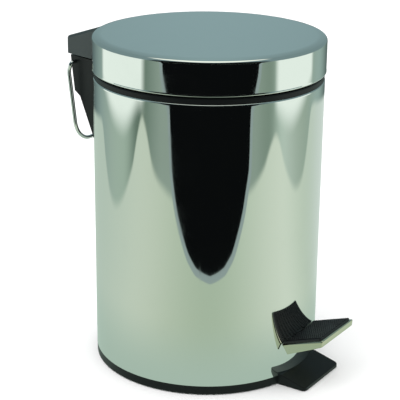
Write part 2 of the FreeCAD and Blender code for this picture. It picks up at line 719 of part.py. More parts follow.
def pedal_plate():
    """Pressed steel tread: hollowed at the back to the shell's curve, with a nose and side skirts."""
    front = TREAD_FRONT_Y
    back = -75.0
    top = extrude_x(
        [(back, tread_z(back)), (front, tread_z(front)), (front, tread_z(front, TREAD_T)),
         (back, tread_z(back, TREAD_T))],
        -TREAD_HALF, TREAD_HALF)
    nose_low = tread_z(front) - NOSE_DEPTH
    skirt_end = SKIRT_REAR[0] + 4.0
    nose = extrude_x(
        [(front, tread_z(front)), (front + NOSE_LEAN, nose_low), (front + NOSE_LEAN + TREAD_T, nose_low),
         (front + TREAD_T, tread_z(front + TREAD_T))],
        -TREAD_HALF, TREAD_HALF)
    plate = top.fuse(nose)
    skirt_outline = [
        (back, tread_z(back)),
        (front, tread_z(front)),
        (front + NOSE_LEAN, nose_low),
        SKIRT_REAR,
        (skirt_end, tread_z(skirt_end, TREAD_T)),
        (back, tread_z(back, TREAD_T)),
    ]
    for x0, x1 in ((TREAD_HALF - TREAD_T, TREAD_HALF), (-TREAD_HALF, TREAD_T - TREAD_HALF)):
        plate = plate.fuse(extrude_x(skirt_outline, x0, x1))
    plate = plate.removeSplitter().cut(cylinder_z(TREAD_REAR_R, 0, 60))
    for x, y in PEDAL_RIVETS:
        plate = plate.cut(square_to_tread(cylinder_z(RIVET_R, -5, 1), x, y))
    return plate


def pedal_pad():
    """Rubber pad that covers the tread between its nose and the shell."""
    front = TREAD_FRONT_Y + PAD_MARGIN
    pad = extrude_x(
        [(-75.0, tread_z(-75.0)), (-75.0, tread_z(-75.0, -PAD_T)), (front, tread_z(front, -PAD_T)),
         (front, tread_z(front))],
        -PAD_HALF, PAD_HALF)
    corners = [
        e for e in pad.Edges
        if e.BoundBox.XLength < 0.01 and e.BoundBox.YLength < 0.01 and e.BoundBox.YMin < front + 0.1
    ]
    pad = pad.makeFillet(1.5, corners)
    return pad.cut(cylinder_z(TREAD_REAR_R, 0, 60))


# ---- carry handle ----
def carry_handle():
    """Chromed wire handle that hangs from the bracket's sides."""
    left = [
        (-HANDLE_BOSS_X - 0.4, HANDLE_PIVOT_Y, HANDLE_PIVOT_Z),
        (-HANDLE_HALF, HANDLE_PIVOT_Y, HANDLE_PIVOT_Z),
        (-HANDLE_BEND[0], HANDLE_BEND[1], HANDLE_BEND[2]),
        (-HANDLE_LOW[0], HANDLE_LOW[1], HANDLE_LOW[2]),
    ]
    right = [(-x, y, z) for x, y, z in reversed(left)]
    return bent_wire(left + right, HANDLE_BENDS, HANDLE_WIRE_R)


PARTS = {
    "body_shell": body_shell,
    "rim_ring": rim_ring,
    "base_tray": base_tray,
    "lever_axle": lever_axle,
    "axle_clips": axle_clips,
    "bucket": bucket,
    "bucket_handle": bucket_handle,
    "lid_cap": lid_cap,
    "lid_liner": lid_liner,
    "lid_bumpers": lid_bumpers,
    "hinge_cover": hinge_cover,
    "cover_screws": cover_screws,
    "hinge_bracket": hinge_bracket,
    "bracket_screws": bracket_screws,
    "hinge_pin": hinge_pin,
    "pin_clip": pin_clip,
    "lid_arm": lid_arm,
    "arm_screws": arm_screws,
    "push_rod": push_rod,
    "rod_collar": rod_collar,
    "rod_clip": rod_clip,
    "pedal_lever": pedal_lever,
    "pedal_rivets": pedal_rivets,
    "pedal_plate": pedal_plate,
    "pedal_pad": pedal_pad,
    "carry_handle": carry_handle,
}

os.makedirs("parts", exist_ok=True)
for name, make in PARTS.items():
    shape = make()
    shape.exportStep("parts/" + name + ".step")
    print(name, "valid", shape.isValid(), "solids", len(shape.Solids), "mm3", round(shape.Volume))
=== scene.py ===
# %% [markdown]
# # A three litre pedal bin in polished steel
# The bin is a mirror, so most of its look is what stands around it. This lesson loads the working
# model, sets the camera and the studio, makes the finishes, and then rebuilds the pieces that need
# a finer shape than the engineering model has: the polished skin, the lid, the tread and its
# ribbed pad.

import bmesh
import bpy
import json
import math
from mathutils import Matrix, Vector


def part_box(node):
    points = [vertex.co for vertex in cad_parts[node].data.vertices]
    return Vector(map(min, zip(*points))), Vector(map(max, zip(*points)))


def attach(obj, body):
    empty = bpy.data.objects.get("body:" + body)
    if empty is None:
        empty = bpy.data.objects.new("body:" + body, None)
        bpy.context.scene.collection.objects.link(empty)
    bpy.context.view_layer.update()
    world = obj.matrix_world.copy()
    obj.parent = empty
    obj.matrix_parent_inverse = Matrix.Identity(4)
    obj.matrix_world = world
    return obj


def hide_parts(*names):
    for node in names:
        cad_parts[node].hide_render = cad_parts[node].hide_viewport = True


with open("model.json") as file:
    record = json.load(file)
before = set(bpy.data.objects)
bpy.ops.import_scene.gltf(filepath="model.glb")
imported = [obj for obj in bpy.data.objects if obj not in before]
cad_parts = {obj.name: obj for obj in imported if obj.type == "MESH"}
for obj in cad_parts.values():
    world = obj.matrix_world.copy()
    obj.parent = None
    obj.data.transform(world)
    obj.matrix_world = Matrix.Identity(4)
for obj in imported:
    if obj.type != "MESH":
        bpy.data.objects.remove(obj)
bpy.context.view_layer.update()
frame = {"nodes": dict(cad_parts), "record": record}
nodes = frame["nodes"]

# %% [markdown]
# ## Measures
# The main sizes are read from the model's own pieces: a box gives the lowest and highest corner
# of a piece in metres. The sheet's thickness is the same for the skin and the lid. Small sizes,
# such as the radius of a fold, are named beside the piece that has them.

# %% Sizes from the model
SHEET = 0.0006
shell_low, shell_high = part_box("body_shell")
lid_low, lid_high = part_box("lid_cap")
plate_low, plate_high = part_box("pedal_plate")
pad_low, pad_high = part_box("pedal_pad")
SHELL_R = shell_high.x
HEM_R = lid_high.x
print("shell radius %.4f, lid radius %.4f, height %.4f" % (SHELL_R, HEM_R, lid_high.z))

# %% [markdown]
# ## Camera
# A long lens from about a metre away, a little above the bin: the pedal points to the right of
# the lens, and the hinge is just seen at the back on the left.

# %% Camera
FRONT_TURN = math.radians(57.0)
CAMERA_DISTANCE = 0.9394
CAMERA_HEIGHT = 0.4511
CAMERA_PITCH = 0.3383
CAMERA_YAW = -0.006
CAMERA_ROLL = 0.0105
CAMERA_LENS = 118.1

away = Vector((math.sin(FRONT_TURN), math.cos(FRONT_TURN), 0))
rightward = Vector((math.cos(FRONT_TURN), -math.sin(FRONT_TURN), 0))
up = Vector((0, 0, 1))


def studio(right, back, height=0.0):
    """A point given as steps to the right of the bin, behind it and up, as the lens sees it."""
    return rightward * right + away * back + up * height


def add_camera():
    level = math.cos(CAMERA_PITCH)
    look = studio(math.sin(CAMERA_YAW) * level, math.cos(CAMERA_YAW) * level, -math.sin(CAMERA_PITCH))
    side = look.cross(up).normalized()
    top = side.cross(look)
    side_rolled = side * math.cos(CAMERA_ROLL) + top * math.sin(CAMERA_ROLL)
    top_rolled = top * math.cos(CAMERA_ROLL) - side * math.sin(CAMERA_ROLL)
    camera = bpy.data.objects.new("camera", bpy.data.cameras.new("camera"))
    camera.data.lens = CAMERA_LENS
    camera.data.sensor_width = 36.0
    camera.data.clip_end = 50.0
    turn = Matrix((side_rolled, top_rolled, -look)).transposed().to_4x4()
    camera.matrix_world = Matrix.Translation(studio(0, -CAMERA_DISTANCE, CAMERA_HEIGHT)) @ turn
    bpy.context.scene.collection.objects.link(camera)
    bpy.context.scene.camera = camera


add_camera()
bpy.context.scene.view_settings.view_transform = "Standard"
print("camera %.3f m from the axis, %.3f m high" % (CAMERA_DISTANCE, CAMERA_HEIGHT))

# %% [markdown]
# ## Node helpers
# A material here is a short list of nodes. These helpers add a node, join it and set its values,
# so that each finish below reads as a recipe.


# %% Node helpers
def new_node(tree, kind, **values):
    """Adds a node and sets its properties by name."""
    node = tree.nodes.new(kind)
    for name, value in values.items():
        setattr(node, name, value)
    return node


def join(tree, source, target):
    tree.links.new(source, target)


def maths(tree, operation, first, second=0.0):
    """A Math node on two inputs, each of which is a socket or a number; gives its result."""
    node = new_node(tree, "ShaderNodeMath", operation=operation)
    for place, value in enumerate((first, second)):
        if isinstance(value, (int, float)):
            node.inputs[place].default_value = value
        else:
            join(tree, value, node.inputs[place])
    return node.outputs[0]


def ramp(tree, factor, stops, smooth=True):
    """A colour ramp through (place, colour) stops; gives its colour."""
    node = new_node(tree, "ShaderNodeValToRGB")
    band = node.color_ramp
    band.interpolation = "B_SPLINE" if smooth else "LINEAR"
    while len(band.elements) < len(stops):
        band.elements.new(0.5)
    for element, (place, color) in zip(band.elements, stops):
        element.position = place
        element.color = (*color, 1)
    join(tree, factor, node.inputs[0])
    return node.outputs[0]


def blend(tree, factor, first, second):
    """Mixes two colours, each a socket or a triple, by a factor from 0 to 1."""
    node = new_node(tree, "ShaderNodeMix", data_type="RGBA")
    join(tree, factor, node.inputs[0])
    for place, value in ((6, first), (7, second)):
        if isinstance(value, tuple):
            node.inputs[place].default_value = (*value, 1)
        else:
            join(tree, value, node.inputs[place])
    return node.outputs[2]


def spread(tree, value, low, high, out_low=0.0, out_high=1.0):
    """Maps a value from low..high to out_low..out_high, held at both ends."""
    node = new_node(tree, "ShaderNodeMapRange", interpolation_type="SMOOTHSTEP")
    join(tree, value, node.inputs[0])
    for place, number in enumerate((low, high, out_low, out_high), start=1):
        node.inputs[place].default_value = number
    return node.outputs[0]


def start_material(name):
    """An empty material with a Principled shader wired to its output."""
    material = bpy.data.materials.new(name)
    material.use_nodes = True
    tree = material.node_tree
    tree.nodes.clear()
    shader = new_node(tree, "ShaderNodeBsdfPrincipled")
    output = new_node(tree, "ShaderNodeOutputMaterial")
    join(tree, shader.outputs[0], output.inputs[0])
    return material, tree, shader


# %% Linking helper
def link_mesh(name, mesh):
    """Puts a mesh into the scene as an object at the origin."""
    thing = bpy.data.objects.new(name, mesh)
    bpy.context.scene.collection.objects.link(thing)
    return thing


# %% [markdown]
# ## Studio
# Polished steel shows the room. The bin stands on a white sweep that the lens sees. Glossy rays
# see a painted sheet in its place, as the cards round a set would give: pale green-grey near
# the bin, grey panels with a bright middle to the left and right, and the dark side of the room
# behind the lens. A direction on the sheet is a turn about the bin, from 0 to 1 with 0.5
# towards the lens.


# %% White sweep
STAGE_HALF = 6.0
SWEEP_LEVEL = -0.0004
SWEEP_TONE = (0.9, 0.9, 0.9)


def flat_sheet(name, level):
    """A wide level square that stands for a floor."""
    half = STAGE_HALF
    mesh = bpy.data.meshes.new(name)
    corners = [(-half, -half, level), (half, -half, level), (half, half, level), (-half, half, level)]
    mesh.from_pydata(corners, [], [(0, 1, 2, 3)])
    sheet = link_mesh(name, mesh)
    return sheet


def white_sweep():
    material, tree, shader = start_material("white_sweep")
    shader.inputs["Base Color"].default_value = (*SWEEP_TONE, 1)
    shader.inputs["Roughness"].default_value = 0.9
    sweep = flat_sheet("floor", SWEEP_LEVEL)
    sweep.data.materials.append(material)
    sweep.visible_glossy = False
    print("sweep", 2 * STAGE_HALF, "m wide")


white_sweep()

# %% [markdown]
# The painted sheet lies just under the sweep and is seen only by glossy rays. Its tones are
# ramps over the turn about the bin: the pale tone near the bin, the tone of the panels further
# out, the reach at which one gives way to the other, and the bright middle of each panel.


# %% Painted sheet for the reflections
def shown_only_in_gloss(thing):
    for ray in ("camera", "diffuse", "shadow", "transmission", "volume_scatter"):
        setattr(thing, "visible_" + ray, False)


def start_glow(name):
    """A material that gives out light of one colour, for what is seen only in the steel."""
    material = bpy.data.materials.new(name)
    material.use_nodes = True
    tree = material.node_tree
    tree.nodes.clear()
    emit = new_node(tree, "ShaderNodeEmission")
    output = new_node(tree, "ShaderNodeOutputMaterial")
    join(tree, emit.outputs[0], output.inputs[0])
    return material, tree, emit


def turns(*stops):
    """Ramp stops given as directions about the bin; 0 degrees is towards the lens."""
    return [(0.5 + degrees / 360.0, color) for degrees, color in stops]


def grey(value):
    return (value, value, value)


FOOT_TONE = (0.45, 0.58, 0.50)
NEAR_TONE = turns(
    (-120, (0.51, 0.62, 0.54)), (-80, (0.60, 0.70, 0.59)), (-56, (0.62, 0.71, 0.59)),
    (-30, (0.53, 0.63, 0.50)), (0, (0.42, 0.53, 0.40)), (30, (0.51, 0.62, 0.49)),
    (66, (0.71, 0.80, 0.68)), (84, (0.68, 0.78, 0.66)), (106, (0.54, 0.65, 0.53)),
    (130, (0.62, 0.72, 0.66)), (160, (0.66, 0.75, 0.70)))
FAR_TONE = turns(
    (-150, (0.09, 0.13, 0.13)), (-132, (0.25, 0.35, 0.33)), (-120, (0.31, 0.41, 0.37)),
    (-104, (0.38, 0.49, 0.42)), (-86, (0.40, 0.52, 0.43)), (-78, (0.30, 0.40, 0.33)),
    (-70, (0.10, 0.16, 0.12)), (-64, (0.14, 0.21, 0.16)), (-55, (0.21, 0.29, 0.24)),
    (-43, (0.32, 0.41, 0.35)), (44, (0.29, 0.38, 0.32)), (56, (0.21, 0.29, 0.23)),
    (63, (0.24, 0.33, 0.27)), (71, (0.54, 0.67, 0.58)), (80, (0.50, 0.61, 0.53)),
    (92, (0.40, 0.50, 0.42)), (108, (0.33, 0.43, 0.35)), (120, (0.33, 0.44, 0.40)),
    (134, (0.34, 0.47, 0.43)), (152, (0.10, 0.14, 0.13)))
# A ramp holds values up to 1, so the reach of the edge is kept as its half.
HALF_EDGE = turns(
    (-130, grey(0.36)), (-123, grey(0.36)), (-117, grey(0.29)), (-108, grey(0.23)), (-97, grey(0.21)),
    (-85, grey(0.23)), (-74, grey(0.29)), (-67, grey(0.40)), (-62, grey(0.41)), (-53, grey(0.29)),
    (-42, grey(0.27)), (-30, grey(0.25)), (30, grey(0.25)), (43, grey(0.27)), (54, grey(0.30)),
    (62, grey(0.36)), (68, grey(0.37)), (75, grey(0.30)), (84, grey(0.26)), (92, grey(0.245)),
    (102, grey(0.26)), (110, grey(0.32)), (116, grey(0.42)), (130, grey(0.40)))
PANEL_GLOW = turns(
    (-123, grey(0)), (-119, grey(1)), (-66, grey(1)), (-61, grey(0)),
    (63, grey(0)), (68, grey(1)), (112, grey(1)), (116, grey(0)))
PANEL_START = turns(
    (-122, grey(0.95)), (-108, grey(0.78)), (-92, grey(0.72)), (-80, grey(0.74)), (-68, grey(0.88)),
    (66, grey(0.84)), (78, grey(0.76)), (90, grey(0.76)), (104, grey(0.86)), (116, grey(0.98)))
PANEL_TONE = (0.92, 1.02, 0.95)


def seen_from_lens(tree, vector):
    """Turns a vector to point right, away and up as the lens sees it; gives its three parts."""
    turned = new_node(tree, "ShaderNodeVectorRotate", rotation_type="Z_AXIS")
    turned.inputs["Angle"].default_value = FRONT_TURN
    join(tree, vector, turned.inputs["Vector"])
    split = new_node(tree, "ShaderNodeSeparateXYZ")
    join(tree, turned.outputs[0], split.inputs[0])
    return split.outputs


def about_bin(tree):
    """A floor point's turn about the bin, from 0 to 1, and its reach from the bin's axis."""
    right, back, _ = seen_from_lens(tree, new_node(tree, "ShaderNodeTexCoord").outputs["Object"])
    squares = maths(tree, "ADD", maths(tree, "MULTIPLY", right, right), maths(tree, "MULTIPLY", back, back))
    angle = maths(tree, "ARCTAN2", right, maths(tree, "MULTIPLY", back, -1.0))
    turn = maths(tree, "ADD", maths(tree, "DIVIDE", angle, 2 * math.pi), 0.5)
    return turn, maths(tree, "SQRT", squares)


# %% Painted sheet
SHEET_LEVEL = -0.0008
FOOT_REACH = (0.09, 0.22)
EDGE_BLUR = (-0.02, 0.03)
PANEL_BLUR = (-0.06, 0.09)


def painted_sheet():
    material, tree, emit = start_glow("painted_sheet")
    turn, reach = about_bin(tree)
    foot = spread(tree, reach, *FOOT_REACH, 1.0, 0.0)
    near = blend(tree, foot, ramp(tree, turn, NEAR_TONE), FOOT_TONE)
    edge = maths(tree, "MULTIPLY", ramp(tree, turn, HALF_EDGE), 2.0)
    past_edge = spread(tree, maths(tree, "SUBTRACT", reach, edge), *EDGE_BLUR)
    tone = blend(tree, past_edge, near, ramp(tree, turn, FAR_TONE))
    past_start = maths(tree, "SUBTRACT", reach, ramp(tree, turn, PANEL_START))
    lit = maths(tree, "MULTIPLY", spread(tree, past_start, *PANEL_BLUR), ramp(tree, turn, PANEL_GLOW, False))
    join(tree, blend(tree, lit, tone, PANEL_TONE), emit.inputs[0])
    sheet = flat_sheet("painted_sheet", SHEET_LEVEL)
    sheet.data.materials.append(material)
    shown_only_in_gloss(sheet)
    print("painted sheet nodes:", len(tree.nodes))


painted_sheet()

# %% [markdown]
# The dark side of the room meets the sheet in a round edge. It is a card cut to an outline that
# is given in turns about the bin and steps from it, with a thin grey border.

# %% Dark side of the room
DARK_OUTLINE = [
    (-46, 1.6), (-43, 1.05), (-36, 0.86), (-35, 0.76), (-34, 0.68), (-32.8, 0.604), (-30.5, 0.538),
    (-27.3, 0.476), (-23.3, 0.426), (-16.4, 0.362), (-9.1, 0.327), (3, 0.309), (15, 0.327), (22, 0.36),
    (28.6, 0.426), (32.3, 0.477), (35.2, 0.538), (37.9, 0.606), (38.6, 0.68), (38.8, 0.76),
    (39.5, 0.86), (46, 1.05), (49, 1.6), (60, 5.0), (0, 7.0), (-60, 5.0)]
DARK_TONE = (0.0035, 0.0042, 0.0045)
DARK_LEVEL = -0.0001
BORDER_TONE = (0.30, 0.38, 0.37)
BORDER_LEVEL = -0.0003
BORDER_SPREAD = 1.06
BORDER_WIDTH = 0.018


def card(name, outline, tone, level):
    """A level card cut to an outline of (turn in degrees, reach in metres)."""
    mesh = bpy.data.meshes.new(name)
    points = [studio(math.sin(math.radians(turn)) * reach, -math.cos(math.radians(turn)) * reach, level)
              for turn, reach in outline]
    mesh.from_pydata(points, [], [tuple(range(len(points)))])
    material, tree, emit = start_glow(name)
    emit.inputs[0].default_value = (*tone, 1)
    mesh.materials.append(material)
    thing = link_mesh(name, mesh)
    shown_only_in_gloss(thing)
    print(name, "corners:", len(points))


border = [(turn * BORDER_SPREAD, reach - BORDER_WIDTH) for turn, reach in DARK_OUTLINE]
card("dark_border", border, BORDER_TONE, BORDER_LEVEL)
card("dark_side", DARK_OUTLINE, DARK_TONE, DARK_LEVEL)

# %% [markdown]
# The sky is white for the lens and for soft light. Gloss sees a room instead: cool grey all
# round, paler above the bin's middle line, dark behind the lens and bright overhead, which
# draws the thin line of light on the lid's rounded corner.

# %% Sky and lights
SKY_LOW = (0.20, 0.29, 0.30)
SKY_HIGH = (0.27, 0.39, 0.41)
SKY_WHITE = 1.4
OVERHEAD_TONE = (1.1, 1.15, 1.05)
MIDDLE_WIDTH = 0.30
BEHIND_LENS = (0.45, 0.62)
WALL_TOP = (0.74, 0.80)
OVERHEAD = (0.84, 0.90)


def room_tone(tree):
    """The room's tone in each direction."""
    right, back, rise = seen_from_lens(tree, new_node(tree, "ShaderNodeTexCoord").outputs["Generated"])
    tone = blend(tree, spread(tree, maths(tree, "ABSOLUTE", right), 0.0, MIDDLE_WIDTH), SKY_HIGH, SKY_LOW)
    behind = spread(tree, maths(tree, "MULTIPLY", back, -1.0), *BEHIND_LENS)
    wall = maths(tree, "MULTIPLY", behind, spread(tree, rise, *WALL_TOP, 1.0, 0.0))
    tone = blend(tree, wall, tone, DARK_TONE)
    return blend(tree, spread(tree, rise, *OVERHEAD), tone, OVERHEAD_TONE)


def sky():
    """White for the lens and soft light, and the room for gloss."""
    world = bpy.data.worlds.new("studio")
    bpy.context.scene.world = world
    world.use_nodes = True
    tree = world.node_tree
    tree.nodes.clear()
    white = new_node(tree, "ShaderNodeBackground")
    white.inputs[0].default_value = (1, 1, 1, 1)
    white.inputs[1].default_value = SKY_WHITE
    room = new_node(tree, "ShaderNodeBackground")
    join(tree, room_tone(tree), room.inputs[0])
    mix = new_node(tree, "ShaderNodeMixShader")
    path = new_node(tree, "ShaderNodeLightPath")
    output = new_node(tree, "ShaderNodeOutputWorld")
    join(tree, path.outputs["Is Glossy Ray"], mix.inputs[0])
    join(tree, white.outputs[0], mix.inputs[1])
    join(tree, room.outputs[0], mix.inputs[2])
    join(tree, mix.outputs[0], output.inputs[0])


KEY_PLACE = studio(-0.9, -0.5, 1.6)
KEY_TARGET = Vector((0, 0, 0.1))
KEY_SIZE = 1.2
KEY_POWER = 8


def soft_light(name, place, target, size, power):
    """A square light that gloss doesn't see."""
    data = bpy.data.lights.new(name, "AREA")
    data.size = size
    data.energy = power
    light = bpy.data.objects.new(name, data)
    light.location = place
    light.rotation_euler = (target - place).to_track_quat("-Z", "Y").to_euler()
    light.visible_glossy = False
    bpy.context.scene.collection.objects.link(light)


sky()
soft_light("key", KEY_PLACE, KEY_TARGET, KEY_SIZE, KEY_POWER)
print("sky and key light ready")

# %% [markdown]
# ## Shared surface effects
# Two effects are used by several finishes, so each is a node group. *Grain* is the fine
# unevenness of a moulded surface. *Handling* is what touching leaves on metal: soft smudges
# and hair-fine scratches.


# %% Effect groups
def start_group(name, inputs, outputs):
    """An empty shader node group with named number inputs and outputs."""
    tree = bpy.data.node_groups.new(name, "ShaderNodeTree")
    for socket, value in inputs.items():
        made = tree.interface.new_socket(name=socket, in_out="INPUT", socket_type="NodeSocketFloat")
        made.default_value = value
    for socket in outputs:
        tree.interface.new_socket(name=socket, in_out="OUTPUT", socket_type="NodeSocketFloat")
    source = new_node(tree, "NodeGroupInput")
    target = new_node(tree, "NodeGroupOutput")
    return tree, source, target


def noise(tree, vector, scale, detail=3.0, roughness=0.5):
    """A noise from 0 to 1; its scale is a socket or a number."""
    node = new_node(tree, "ShaderNodeTexNoise")
    join(tree, vector, node.inputs["Vector"])
    if isinstance(scale, (int, float)):
        node.inputs["Scale"].default_value = scale
    else:
        join(tree, scale, node.inputs["Scale"])
    node.inputs["Detail"].default_value = detail
    node.inputs["Roughness"].default_value = roughness
    return node.outputs["Fac"]


def grain_group():
    """Fine pits at a given scale, and a slow drift between duller and brighter areas."""
    tree, source, target = start_group("grain", {"Scale": 900.0, "Drift": 30.0}, ["Pits", "Drift"])
    place = new_node(tree, "ShaderNodeTexCoord").outputs["Object"]
    pits = noise(tree, place, source.outputs["Scale"], 2.0)
    drift = noise(tree, place, source.outputs["Drift"], 3.0)
    join(tree, pits, target.inputs["Pits"])
    join(tree, spread(tree, drift, 0.35, 0.65), target.inputs["Drift"])
    return tree


def handling_group():
    """Smudges where hands touch, and fine scratches along one direction."""
    tree, source, target = start_group(
        "handling", {"Smudge Scale": 18.0, "Scratch Scale": 260.0}, ["Smudge", "Scratch"])
    place = new_node(tree, "ShaderNodeTexCoord").outputs["Object"]
    smudge = noise(tree, place, source.outputs["Smudge Scale"], 4.0, 0.6)
    stretch = new_node(tree, "ShaderNodeMapping")
    stretch.inputs["Scale"].default_value = (1.0, 1.0, 0.06)
    stretch.inputs["Rotation"].default_value = (0.35, 0.2, 0.0)
    join(tree, place, stretch.inputs["Vector"])
    scratch = noise(tree, stretch.outputs[0], source.outputs["Scratch Scale"], 1.0)
    join(tree, spread(tree, smudge, 0.52, 0.72), target.inputs["Smudge"])
    join(tree, spread(tree, scratch, 0.62, 0.70), target.inputs["Scratch"])
    return tree


GRAIN = grain_group()
HANDLING = handling_group()
print("effect groups:", GRAIN.name, HANDLING.name)


def place_group(tree, group, **values):
    """Places a group in a material; an input's name is written with _ for a space."""
    node = new_node(tree, "ShaderNodeGroup", node_tree=group)
    for name, value in values.items():
        node.inputs[name.replace("_", " ")].default_value = value
    return node


# %% [markdown]
# ## Finishes
# *Polished steel* is a mirror: almost no roughness, a little more in smudges, and a very slight
# waviness because the sheet was rolled and drawn. *Plastic* is moulded black with a fine grain.
# *Zinc* is the dull grey plating on the inner hardware. *Rubber* is darker and duller still.
# The hinge cover's plastic is lighter than the rest and glossier: the lighter colour is painted sheen, and
# the higher gloss is real.

# %% Finish recipes
FINISH = {}


def add_bump(tree, shader, height, strength, distance):
    bump = new_node(tree, "ShaderNodeBump")
    bump.inputs["Strength"].default_value = strength
    bump.inputs["Distance"].default_value = distance
    join(tree, height, bump.inputs["Height"])
    join(tree, bump.outputs[0], shader.inputs["Normal"])


def metal(name, color, smooth, smudged, wave_scale, wave_height, spot=0.92):
    """A polished metal: its roughness rises from smooth to smudged in the touched areas."""
    material, tree, shader = start_material(name)
    shader.inputs["Metallic"].default_value = 1.0
    marks = place_group(tree, HANDLING)
    touched = maths(tree, "MAXIMUM", marks.outputs["Smudge"],
                    maths(tree, "MULTIPLY", marks.outputs["Scratch"], 0.6))
    join(tree, spread(tree, touched, 0.0, 1.0, smooth, smudged), shader.inputs["Roughness"])
    dulled = tuple(value * spot for value in color)
    join(tree, blend(tree, marks.outputs["Smudge"], color, dulled), shader.inputs["Base Color"])
    place = new_node(tree, "ShaderNodeTexCoord").outputs["Object"]
    add_bump(tree, shader, noise(tree, place, wave_scale, 1.0), 1.0, wave_height)
    FINISH[name] = material


def moulded(name, color, worn, smooth, dull, scale, depth, specular=0.5):
    """A moulded plastic or rubber with a fine grain and a slow drift in its gloss."""
    material, tree, shader = start_material(name)
    shader.inputs["Specular IOR Level"].default_value = specular
    grain = place_group(tree, GRAIN, Scale=scale)
    join(tree, spread(tree, grain.outputs["Drift"], 0.0, 1.0, smooth, dull), shader.inputs["Roughness"])
    join(tree, blend(tree, grain.outputs["Pits"], color, worn), shader.inputs["Base Color"])
    add_bump(tree, shader, grain.outputs["Pits"], 0.6, depth)
    FINISH[name] = material


metal("polished_steel", (0.80, 0.82, 0.79), 0.035, 0.07, 22.0, 0.00004, 0.98)
metal("pedal_steel", (0.66, 0.65, 0.50), 0.10, 0.24, 160.0, 0.00005)
metal("chrome_wire", (0.80, 0.81, 0.80), 0.06, 0.12, 60.0, 0.00002)
metal("zinc_steel", (0.60, 0.61, 0.62), 0.28, 0.42, 500.0, 0.00003)
moulded("black_plastic", (0.003, 0.004, 0.004), (0.006, 0.008, 0.008), 0.30, 0.38, 1400.0, 0.00003, 0.2)
# the hinge cover's lighter colour is painted sheen on the black plastic; its higher specular is real gloss
moulded("cover_plastic_painted_sheen", (0.016, 0.024, 0.024), (0.024, 0.034, 0.034), 0.34, 0.44, 1400.0, 0.00003, 0.5)
moulded("bucket_plastic", (0.030, 0.032, 0.035), (0.040, 0.043, 0.046), 0.32, 0.42, 900.0, 0.00004)
moulded("black_rubber", (0.006, 0.006, 0.007), (0.010, 0.011, 0.011), 0.32, 0.46, 1600.0, 0.00004, 0.5)

for part in frame["record"]["subparts"]:
    mesh = nodes[part["node"]].data
    mesh.materials.clear()
    mesh.materials.append(FINISH[part["material_slot"]])
# the hinge cover takes the copy of the black plastic with painted sheen
nodes["hinge_cover"].data.materials[0] = FINISH["cover_plastic_painted_sheen"]
print("finishes:", sorted(FINISH))

# %% [markdown]
# ## Turned pieces
# The skin and the lid are round, so each is an outline turned about the bin's axis. A mirror
# shows every facet, so the turning has 400 steps and the outline has many points in its
# rounded corners. An outline is a list of (distance from the axis, height) in metres.

# %% Turning helpers
STEPS = 400
STEP_TURN = 2 * math.pi / STEPS
SHARP = 35.0


def finish_piece(piece, node, body, slot, sharp=SHARP):
    """Shades a piece smoothly up to a crease angle, gives it its finish and seats it on a body."""
    mesh = piece.data
    mesh.shade_smooth()
    mesh.set_sharp_from_angle(angle=math.radians(sharp))
    mesh.materials.clear()
    mesh.materials.append(FINISH[slot])
    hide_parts(node)
    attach(piece, body)
    print(piece.name, "faces", len(mesh.polygons))


def baked(piece):
    """Applies a piece's modifiers: its evaluated mesh becomes its mesh."""
    bpy.context.view_layer.update()
    graph = bpy.context.evaluated_depsgraph_get()
    mesh = bpy.data.meshes.new_from_object(piece.evaluated_get(graph))
    piece.modifiers.clear()
    piece.data = mesh
    return piece


def turned_mesh(name, outline, closed, windows=()):
    """Turns an outline about the axis; a window is (middle step, half its steps, bottom, top)."""
    shape = bmesh.new()
    rings = []
    for radius, height in outline:
        if radius == 0:
            rings.append([shape.verts.new((0, 0, height))] * STEPS)
            continue
        spots = [(radius * math.sin(step * STEP_TURN), -radius * math.cos(step * STEP_TURN), height)
                 for step in range(STEPS)]
        rings.append([shape.verts.new(spot) for spot in spots])
    for row in range(len(rings) if closed else len(rings) - 1):
        low, high = rings[row], rings[(row + 1) % len(rings)]
        level = (low[0].co.z + high[0].co.z) / 2
        for step in range(STEPS):
            if any((step - middle + half) % STEPS < 2 * half and bottom < level < top
                   for middle, half, bottom, top in windows):
                continue
            after = (step + 1) % STEPS
            corners = list(dict.fromkeys((low[step], low[after], high[after], high[step])))
            if len(corners) > 2:
                shape.faces.new(corners)
    mesh = bpy.data.meshes.new(name)
    shape.to_mesh(mesh)
    shape.free()
    return mesh


def rounded(points, corner, radius, start, end, steps):
    """Adds an arc of an outline about a centre, from one angle to another, in degrees."""
    for step in range(steps + 1):
        angle = math.radians(start + (end - start) * step / steps)
        points.append((corner[0] + radius * math.cos(angle), corner[1] + radius * math.sin(angle)))


# %% [markdown]
# The skin is one rolled and polished sheet. Its top edge is rolled inwards over the black ring,
# and it has two windows: one at the front for the pedal's lever and one at the back for the push
# rod. The outer face is turned first and then given the sheet's thickness inwards.

# %% Polished skin
LIP_R = 0.0012
LIP_IN = 0.0022
SLOT_HALF = 0.0092
SLOT_LOW, SLOT_HIGH = 0.0226, 0.0326
ROD_HALF = 0.004
ROD_LOW, ROD_HIGH = 0.172, 0.206
WALL_ROWS = (0.07, 0.11, 0.15)
LIP_SUPPORT = (0.004, 0.0018)


def window(middle, half_width, bottom, top):
    """A window whose half width is rounded to whole steps, so that no thin faces are made."""
    return middle, round(math.asin(half_width / SHELL_R) / STEP_TURN), bottom, top


def skin():
    low, high = shell_low.z, shell_high.z
    rows = [low, SLOT_LOW, SLOT_HIGH, *WALL_ROWS, ROD_LOW, ROD_HIGH, *(high - drop for drop in LIP_SUPPORT)]
    outline = [(SHELL_R, row) for row in rows]
    rounded(outline, (SHELL_R - LIP_R, high - LIP_R), LIP_R, 0, 90, 8)
    outline.append((SHELL_R - LIP_IN, high))
    windows = [window(0, SLOT_HALF, SLOT_LOW, SLOT_HIGH), window(STEPS // 2, ROD_HALF, ROD_LOW, ROD_HIGH)]
    piece = link_mesh("steel_skin", turned_mesh("steel_skin", outline, False, windows))
    wall = piece.modifiers.new("sheet", "SOLIDIFY")
    wall.thickness = SHEET
    wall.offset = -1.0
    finish_piece(baked(piece), "body_shell", "housing", "polished_steel")


skin()

